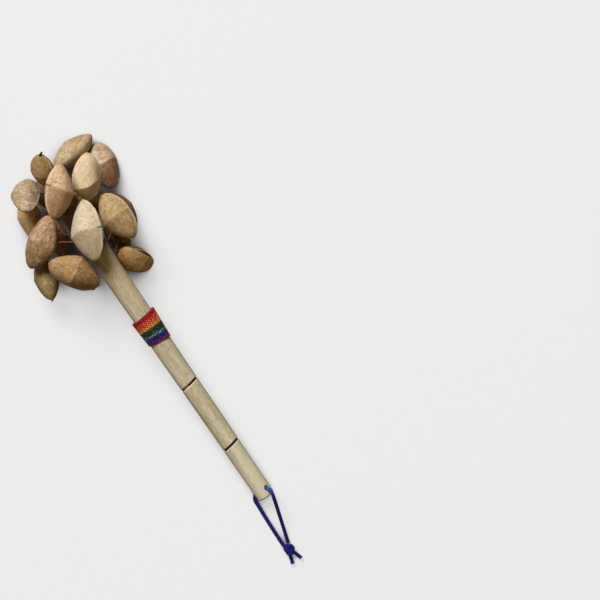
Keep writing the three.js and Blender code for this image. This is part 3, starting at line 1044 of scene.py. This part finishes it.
def make_band():
    rows = band_yarns * band_yarn_rows
    marks = {"row": [], "crest": [], "shade": []}
    points, faces = [], []
    for layer in (0, 1):
        for i in range(rows + 1):
            for j in range(band_columns):
                point, *values = band_point(i / rows, j, layer)
                points.append(point)
                for name, value in zip(marks, values):
                    marks[name].append(value)
    inner = (rows + 1) * band_columns
    for j in range(band_columns):
        k = (j + 1) % band_columns
        for i in range(rows):
            a, b = i * band_columns + j, i * band_columns + k
            c, d = b + band_columns, a + band_columns
            faces.append((a, b, c, d))
            faces.append((inner + d, inner + c, inner + b, inner + a))
        for i, turned in ((0, False), (rows, True)):
            a, b = i * band_columns + j, i * band_columns + k
            face = (b, a, inner + a, inner + b)
            faces.append(face[::-1] if turned else face)
    points = [stick_place @ (p * mm) / mm for p in points]
    band = make_piece("woven_band", points, faces, marks)
    band.data.materials.append(band_material())
    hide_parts("textile_band")
    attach(band, "handle")


# Thread that fills each cross hole of the stick


def make_thread_cores():
    for number, (back, turn) in enumerate(string_holes, 1):
        along = stick_length - back
        half = stick_radius(along) - core_inset
        line = [round_stick(along, turn, half * (i / core_steps - 1)) for i in range(2 * core_steps + 1)]
        core = make_piece(f"thread_core_{number}", *yarn_mesh(
            line, core_diameter, *core_twist, 40 + number, taper=core_taper))
        core.data.materials.append(thread_material())
        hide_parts(f"string_core_{number}")
        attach(core, "handle")


# Pods


def shell_sizes(size, inset):
    return pod_length * size - 2 * inset, pod_width * size - 2 * inset, pod_thickness * size - 2 * inset


def section(pod, sizes, step, angle):
    """A point of a shell: step runs from tip to tip with the ridge at 0, the angle from the seam."""
    length, width, thickness = sizes
    edge, rise = cos(angle), sin(angle)
    crest = pod.ridge_at + pod.ridge_tilt * edge + pod.ridge_bend * max(0, -edge)
    share = step + crest * (1 - abs(step))
    full = sqrt(max(0, 1 - share * share))
    pointed = (1 - min(1, abs(share)) ** pod_back_power) ** pod_back_round
    pointed += pod.kite * ((1 - abs(step)) ** pod_kite_power - pointed)
    face = thickness / 2 * (pod.ridge * (1 - abs(step)) + (1 - pod.ridge) * full)
    if edge > 0:
        corner = (1 - seam_corner) * edge + seam_corner * (1 - abs(rise))
        y = width * pod_seam_share * full * corner
    else:
        corner = (1 - back_corner) * edge - back_corner * (1 - abs(rise))
        y = width * (1 - pod_seam_share) * pointed * corner
    return Vector((share * length / 2, y, rise * face))


def half_gape(pod, number, step):
    """Half the width of the sprung seam; a narrow one opens in dashes."""
    lens = pod.gape / 2 * (1 - (step / seam_share) ** 2)
    ragged = noise.noise(Vector((step * gape_waves, number * gape_seed, 0)))
    return lens * (1 + min(1, gape_narrow / pod.gape) * gape_ragged * ragged)


def shell_row(put, number, sizes, step, columns, inset):
    """One row of points round a shell from lip to lip, and whether its seam is open there."""
    pod = pods[number]
    gap = half_gape(pod, number, step)
    is_open = gap > seam_least
    start = 0
    if is_open:
        start = asin(min(seam_steepest, gap / section(pod, sizes, step, pi / 2).z))
    row = []
    for j in range(columns + 1):
        if j == columns and not is_open:
            row.append(row[0])
            continue
        share = 2 * j / columns - 1
        spread = even_share * share + (1 - even_share) * sin(pi / 2 * share)
        angle = pi + (pi - start) * spread
        point = section(pod, sizes, step, angle)
        if inset:
            row.append(put(point, step, 0.0, 0.0, 0.0, 1.0))
            continue
        rim = section(pod, sizes, step, start if angle < pi else 2 * pi - start)
        row.append(put(*skin_point(number, point, rim, step, angle, is_open), 0.0))
    return row, is_open


def shell_mesh(number, rows, columns):
    """A hollow shell with its seam sprung open, as points, faces and marks."""
    pod = pods[number]
    points, faces = [], []
    marks = {name: [] for name in ("along", "lip", "ridge", "crack", "hollow")}

    def put(point, *values):
        points.append(point)
        for name, value in zip(marks, values):
            marks[name].append(value)
        return len(points) - 1

    steps = [sin(pi / 2 * (2 * i / rows - 1)) for i in range(1, rows)]
    layers = []
    for inset in (0, pod_wall):
        sizes = shell_sizes(pod.size, inset)
        grid = [shell_row(put, number, sizes, step, columns, inset) for step in steps]
        hollow = 1.0 if inset else 0.0
        tips = [put(Vector((way * sizes[0] / 2, 0, 0)), way, 0.0, 0.0, 0.0, hollow) for way in (-1, 1)]
        if not inset and pod.stalk:
            add_stalk(put, faces, points[tips[pod.stalk > 0]], pod.stalk)
        add_skin(faces, grid, tips, columns, inset)
        layers.append(grid)
    add_rim(faces, *layers, columns)
    return points, faces, marks


def add_skin(faces, grid, tips, columns, inset):
    """Faces of one skin from tip to tip; the inset one looks inward."""
    for i in range(len(grid) - 1):
        for j in range(columns):
            a, b = grid[i][0][j], grid[i][0][j + 1]
            c, d = grid[i + 1][0][j + 1], grid[i + 1][0][j]
            faces.append((a, d, c, b) if inset else (a, b, c, d))
    for j in range(columns):
        for row, tip, is_first in ((grid[0][0], tips[0], True), (grid[-1][0], tips[1], False)):
            face = (row[j], row[j + 1], tip)
            faces.append(face if is_first == bool(inset) else face[::-1])


def add_stalk(put, faces, tip, size):
    """A dark stub of the stem at one tip, a bit to the seam side."""
    sides = 10
    rings = []
    for reach, width in stalk_rings:
        middle = tip + Vector((reach * size, stalk_shift + stalk_lean[0] * reach, stalk_lean[1] * reach))
        ring = []
        for j in range(sides):
            angle = 2 * pi * j / sides
            rim = Vector((0, cos(angle), sin(angle))) * width * abs(size)
            ring.append(put(middle + rim, 0.0, 0.0, 0.0, 1.0, 0.0))
        rings.append(ring)
    for lower, upper in zip(rings, rings[1:]):
        faces.extend(face if size > 0 else face[::-1] for face in ring_faces(lower, upper))
    for ring, turned in ((rings[0], size > 0), (rings[-1], size < 0)):
        faces.append(tuple(ring[::-1] if turned else ring))


def add_rim(faces, outer, inner, columns):
    """Joins the outer skin to the inner one along the two lips of the seam."""
    for i in range(len(outer) - 1):
        if not (outer[i][1] or outer[i + 1][1]):
            continue
        for j, turned in ((0, False), (columns, True)):
            a, b = outer[i][0][j], outer[i + 1][0][j]
            c, d = inner[i + 1][0][j], inner[i][0][j]
            face = (a, b, c, d)
            faces.append(face[::-1] if turned else face)


def skin_point(number, point, rim, step, angle, is_open):
    """A point of the outer skin with its lips, ridge and dents, and its marks."""
    pod = pods[number]
    start = Vector((0, 0, skin_seed * number))
    from_ridge = step * (pod_length * pod.size / 2)
    from_lip = (point - rim).length
    out = Vector((skin_lean * step, cos(angle), sin(angle))).normalized()
    seam_fade = 1 - smooth_step(*seam_ends, abs(step))
    lip = seam_fade * bell(from_lip, lip_width)
    crest = pod.ridge * bell(from_ridge, crest_width)
    inward = 1 - smooth_step(*crack_ends, from_lip)
    split = crack_full * bell(from_ridge, crack_width + crack_spread * inward) * inward
    crack = pod.crack * min(1, split) * seam_fade
    rise = lip_rise * lip + crest_rise * crest - crack_depth * crack - skin_inset
    if not is_open:
        closed = bell(from_lip, closed_width)
        rise -= closed_depth * seam_fade * closed
        crack = max(crack, closed_dark * seam_fade * closed)
    for length, height in skin_dents:
        rise += height * noise.noise(point / length + start)
    fold = noise.noise(Vector(p * f for p, f in zip(point, pod.folds)) + start)
    rise -= fold_depth * pod.wrinkle * (1 - abs(fold)) ** 3
    return point + out * rise, step, lip, crest, crack


def plain_box(size, turn):
    """The lowest and highest corner of a turned plain shell about its own middle."""
    plain = Pod(0, 0, 0, size, "", "", "", "")
    sizes = shell_sizes(size, 0)
    steps = [sin(pi / 2 * (i / box_steps - 1)) for i in range(2 * box_steps + 1)]
    angles = [2 * pi * j / box_turns for j in range(box_turns)]
    spread = [turn @ section(plain, sizes, step, angle) for step in steps for angle in angles]
    low = Vector(min(point[axis] for point in spread) for axis in range(3))
    high = Vector(max(point[axis] for point in spread) for axis in range(3))
    return low, high


def make_pod(number):
    """A shell with its middle where its solid has it."""
    pod = pods[number]
    turn = (
        Matrix.Rotation(radians(pod.bearing), 3, "Z")
        @ Matrix.Rotation(radians(-pod.slope), 3, "Y")
        @ Matrix.Rotation(radians(pod.seam), 3, "X")
    )
    low, high = plain_box(pod.size, turn)
    cad_low, cad_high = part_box(f"pod_{number:02d}")
    place = (Vector(cad_low) + Vector(cad_high)) / 2 / mm - (low + high) / 2
    points, faces, marks = shell_mesh(number, *(seen_mesh if number <= seen_pods else hidden_mesh))
    shell = make_piece(f"nut_shell_{number:02d}", [turn @ p + place for p in points], faces, marks, points)
    shell.data.materials.append(shell_material(number))
    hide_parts(f"pod_{number:02d}")
    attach(shell, f"pod_{number:02d}_on_string")
    return place


def make_pod_string(number, pod_place):
    """The thread from its hole into its pod."""
    joint = next(j for j in frame["joints"] if j["name"] == f"pod_{number:02d}_swing")
    tie = Vector(joint["pos_m"]) / mm
    axis_point = butt + to_head * (tie - butt).dot(to_head)
    out = (tie - axis_point).normalized()
    lead = tie + out * string_lead
    to_pod = (pod_place - lead).normalized()
    low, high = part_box(f"pod_string_{number:02d}")
    reach = max((Vector(high) - Vector(low)).length / mm, string_least)
    reach = min(reach, (pod_place - lead).length - 1)
    line = smooth_line([
        tie - out * string_root,
        tie + out * string_mouth,
        lead - out * string_bend + to_pod * string_bend,
        lead + to_pod * string_after,
        lead.lerp(pod_place, 0.5),
        lead + to_pod * reach,
    ], string_step)
    string = make_piece(f"pod_thread_{number:02d}", *yarn_mesh(line, string_diameter, *string_twist, number))
    string.data.materials.append(thread_material())
    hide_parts(f"pod_string_{number:02d}")
    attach(string, f"pod_{number:02d}_on_string")


# Table and light


def make_floor():
    """A pale lit table with only a faint cast shadow, and a painted shadow close under and between things.
    """
    half, low = table_half, -table_drop
    points = [(-half, -half, low), (half, -half, low), (half, half, low), (-half, half, low)]
    floor = make_piece("table", points, [(0, 1, 2, 3)])
    material, tree, shader = start_material("pale_table")
    seen = add_node(tree, "LightPath", {}).outputs["Is Camera Ray"]
    free = add_node(tree, "AmbientOcclusion", {"Distance": shadow_reach}, samples=12).outputs["AO"]
    # Painted shadow: the glow turns dark brown where ambient occlusion finds things close by
    shadow = blend_colours(tree, ease(tree, free, *shadow_ends), paint("140c0a"), paint("ffffff"))
    set_inputs(tree, shader, {
        "Base Color": (0.2, 0.2, 0.2, 1), "Roughness": 0.9, "Specular IOR Level": 0.1,
        "Emission Color": shadow, "Emission Strength": times(tree, seen, table_glow),
    })
    floor.data.materials.append(material)


def make_lamp():
    """One wide soft lamp above and to one side."""
    data = bpy.data.lights.new("window", "AREA")
    data.shape = "SQUARE"
    data.size = lamp_size
    data.energy = lamp_watts
    lamp = bpy.data.objects.new("window", data)
    toward = Matrix.Rotation(radians(view_turn), 3, "Z") @ Vector(lamp_way)
    lamp.location = view_centre + toward.normalized() * lamp_reach
    lamp.rotation_euler = (lamp.location - view_centre).to_track_quat("Z", "Y").to_euler()
    scene.collection.objects.link(lamp)


def make_room():
    """Weak warm light from all sides."""
    world = bpy.data.worlds.new("room")
    scene.world = world
    world.use_nodes = True
    sky = world.node_tree.nodes["Background"]
    sky.inputs["Color"].default_value = room_colour
    sky.inputs["Strength"].default_value = room_strength
    scene.view_settings.view_transform = "Standard"


make_cord()
stick_piece = make_stick()
make_band()
make_thread_cores()
for pod_number in pods:
    make_pod_string(pod_number, make_pod(pod_number))
make_floor()
make_lamp()
make_room()
